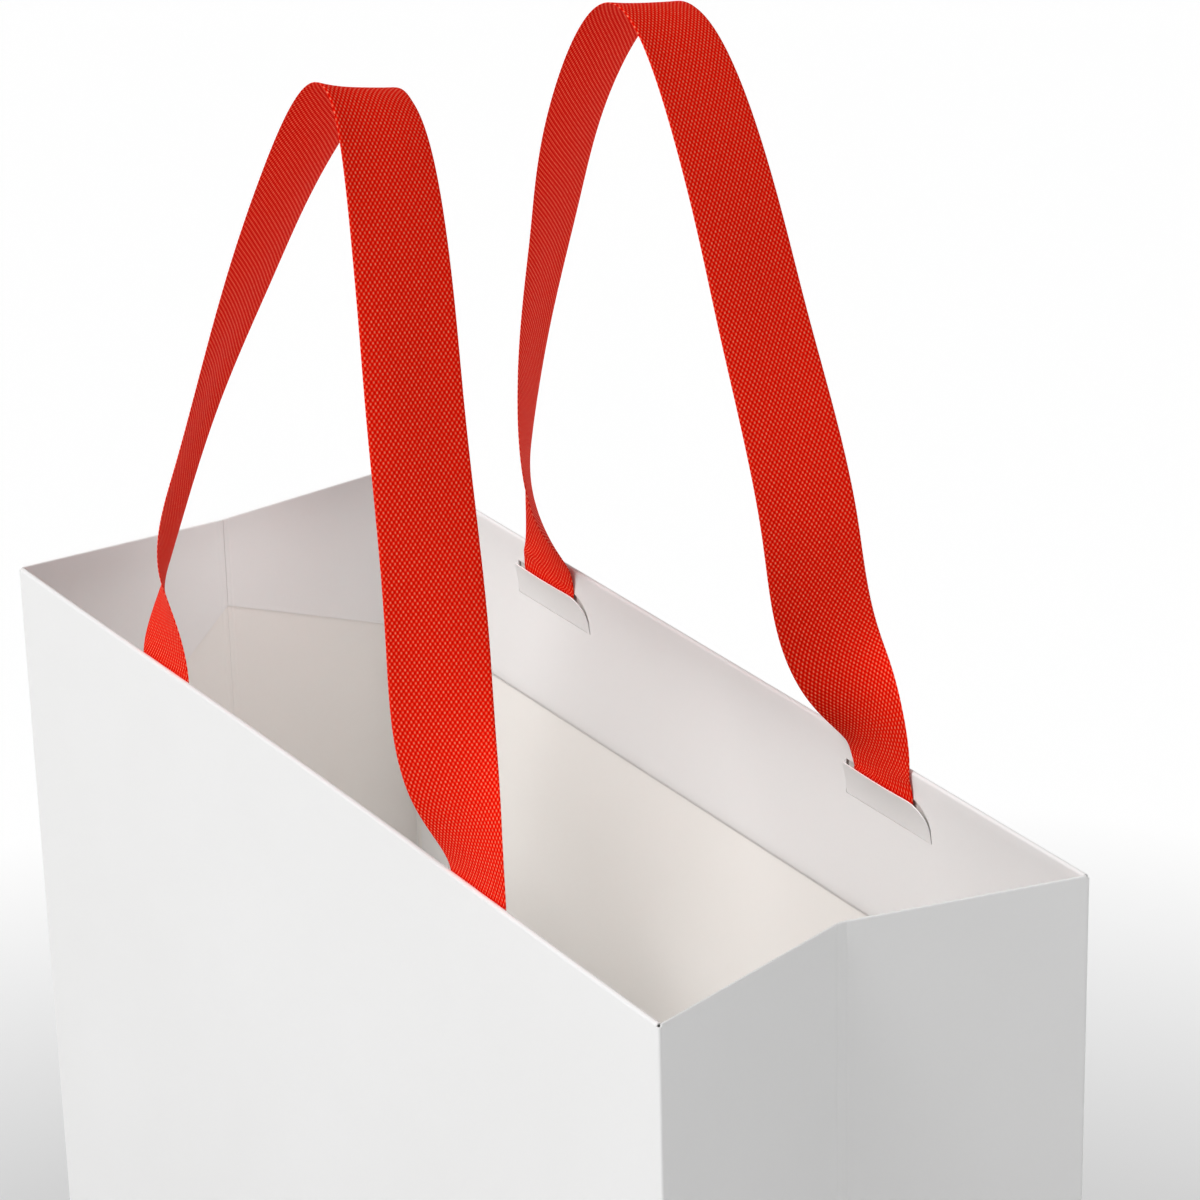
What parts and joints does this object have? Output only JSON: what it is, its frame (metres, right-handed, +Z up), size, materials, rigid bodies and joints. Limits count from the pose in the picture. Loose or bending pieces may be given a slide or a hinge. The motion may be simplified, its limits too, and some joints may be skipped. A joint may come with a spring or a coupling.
{
  "type": "gift bag",
  "caption": "Rigid white paper carrier bag with gusseted sides, a turned-in rim and two woven ribbon loop handles threaded through tongue slots. Folds flat.",
  "frame": {"origin": "middle of the underside of the base", "axes": "+Z up towards the rim, +X along the width, +Y from the front wall to the back wall"},
  "size_m": [0.32, 0.1389, 0.5842],
  "materials": {
    "white_paper": "satin laminated white paper",
    "rim_card": "uncoated white card",
    "base_card": "smooth white board",
    "ribbon": "woven red ribbon with a soft sheen"
  },
  "bodies": {
    "base": {"front_bottom_flap": "white_paper", "back_bottom_flap": "white_paper", "left_bottom_flap": "white_paper", "right_bottom_flap": "white_paper", "base_board": "base_card"},
    "front_strip": {"front_lower_panel": "white_paper"},
    "left_facet": {"left_front_facet": "white_paper"},
    "right_facet": {"right_front_facet": "white_paper"},
    "left_triangle": {"left_base_triangle": "white_paper"},
    "right_triangle": {"right_base_triangle": "white_paper"},
    "left_gusset_front": {"left_gusset_front": "white_paper", "left_gusset_front_cuff": "white_paper"},
    "left_gusset_back": {"left_gusset_back": "white_paper", "left_gusset_back_cuff": "white_paper"},
    "right_gusset_front": {"right_gusset_front": "white_paper", "right_gusset_front_cuff": "white_paper"},
    "right_gusset_back": {"right_gusset_back": "white_paper", "right_gusset_back_cuff": "white_paper"},
    "front_wall": {"front_panel": "white_paper", "front_stiffener": "rim_card", "front_cuff": "white_paper", "front_left_ribbon_end": "ribbon", "front_right_ribbon_end": "ribbon"},
    "front_handle": {"front_ribbon_loop": "ribbon"},
    "front_left_tongue": {"front_left_tongue": "white_paper"},
    "front_right_tongue": {"front_right_tongue": "white_paper"},
    "back_wall": {"back_panel": "white_paper", "back_stiffener": "rim_card", "back_cuff": "white_paper", "back_left_ribbon_end": "ribbon", "back_right_ribbon_end": "ribbon", "side_seam_flap": "white_paper"},
    "back_handle": {"back_ribbon_loop": "ribbon"},
    "back_left_tongue": {"back_left_tongue": "white_paper"},
    "back_right_tongue": {"back_right_tongue": "white_paper"}
  },
  "joints": [
    {"name": "fold_flat", "type": "hinge", "parent": "base", "child": "front_strip", "pos_m": [0, -0.062, 0.00378], "axis": [-1, 0, 0], "range_deg": [0, 85], "deforming": ["left_front_facet", "right_front_facet", "left_base_triangle", "right_base_triangle", "front_ribbon_loop", "back_ribbon_loop"]},
    {"name": "front_crease", "type": "hinge", "parent": "front_strip", "child": "front_wall", "pos_m": [0, -0.06315, 0.065], "axis": [1, 0, 0], "range_deg": [0, 170]},
    {"name": "left_front_corner", "type": "hinge", "parent": "front_wall", "child": "left_gusset_front", "pos_m": [-0.15894, -0.06125, 0.2], "axis": [0, 0, -1], "range_deg": [0, 80.87]},
    {"name": "left_centre_crease", "type": "hinge", "parent": "left_gusset_front", "child": "left_gusset_back", "pos_m": [-0.15615, 0, 0.2], "axis": [0, 0, 1], "range_deg": [0, 161.73]},
    {"name": "left_facet_crease", "type": "hinge", "parent": "front_strip", "child": "left_facet", "pos_m": [-0.15894, -0.06125, 0.0325], "axis": [0, 0, -1], "range_deg": [0, 83.87]},
    {"name": "left_triangle_crease", "type": "hinge", "parent": "base", "child": "left_triangle", "pos_m": [-0.159, 0, 0.00275], "axis": [0, 1, 0], "range_deg": [0, 84.48]},
    {"name": "right_front_corner", "type": "hinge", "parent": "front_wall", "child": "right_gusset_front", "pos_m": [0.15858, -0.06125, 0.2], "axis": [0, 0, 1], "range_deg": [0, 70.25]},
    {"name": "right_centre_crease", "type": "hinge", "parent": "right_gusset_front", "child": "right_gusset_back", "pos_m": [0.14415, 0, 0.2], "axis": [0, 0, -1], "range_deg": [0, 140.5]},
    {"name": "right_facet_crease", "type": "hinge", "parent": "front_strip", "child": "right_facet", "pos_m": [0.15858, -0.06125, 0.0325], "axis": [0, 0, 1], "range_deg": [0, 73.25]},
    {"name": "right_triangle_crease", "type": "hinge", "parent": "base", "child": "right_triangle", "pos_m": [0.159, 0, 0.00275], "axis": [0, -1, 0], "range_deg": [0, 74.17]},
    {"name": "left_back_corner", "type": "hinge", "parent": "left_gusset_back", "child": "back_wall", "pos_m": [-0.15894, 0.06125, 0.2], "axis": [0, 0, -1], "range_deg": [0, 80.87]},
    {"name": "front_handle_swing", "type": "hinge", "parent": "front_wall", "child": "front_handle", "pos_m": [0, -0.0612, 0.4], "axis": [1, 0, 0], "range_deg": [-8.5, 115]},
    {"name": "front_left_tongue_flex", "type": "hinge", "parent": "front_wall", "child": "front_left_tongue", "pos_m": [-0.0805, -0.06168, 0.383], "axis": [-1, 0, 0], "range_deg": [-5, 10], "stiffness_Nm_per_rad": 0.0001},
    {"name": "front_right_tongue_flex", "type": "hinge", "parent": "front_wall", "child": "front_right_tongue", "pos_m": [0.0765, -0.06168, 0.383], "axis": [-1, 0, 0], "range_deg": [-5, 10], "stiffness_Nm_per_rad": 0.0001},
    {"name": "back_handle_swing", "type": "hinge", "parent": "back_wall", "child": "back_handle", "pos_m": [0, 0.0612, 0.4], "axis": [-1, 0, 0], "range_deg": [-8.5, 115]},
    {"name": "back_left_tongue_flex", "type": "hinge", "parent": "back_wall", "child": "back_left_tongue", "pos_m": [-0.0765, 0.06168, 0.383], "axis": [1, 0, 0], "range_deg": [-5, 10], "stiffness_Nm_per_rad": 0.0001},
    {"name": "back_right_tongue_flex", "type": "hinge", "parent": "back_wall", "child": "back_right_tongue", "pos_m": [0.0805, 0.06168, 0.383], "axis": [1, 0, 0], "range_deg": [-5, 10], "stiffness_Nm_per_rad": 0.0001}
  ],
  "couplings": [
    {"joint": "front_crease", "follows": "fold_flat", "ratio": 2},
    {"joint": "left_front_corner", "follows": "fold_flat", "ratio": 0.95138},
    {"joint": "left_centre_crease", "follows": "fold_flat", "ratio": 1.9028},
    {"joint": "left_facet_crease", "follows": "fold_flat", "ratio": 0.98667},
    {"joint": "left_triangle_crease", "follows": "fold_flat", "ratio": 0.99386},
    {"joint": "right_front_corner", "follows": "fold_flat", "ratio": 0.82647},
    {"joint": "right_centre_crease", "follows": "fold_flat", "ratio": 1.6529},
    {"joint": "right_facet_crease", "follows": "fold_flat", "ratio": 0.86176},
    {"joint": "right_triangle_crease", "follows": "fold_flat", "ratio": 0.8726},
    {"joint": "left_back_corner", "follows": "fold_flat", "ratio": 0.95138}
  ]
}
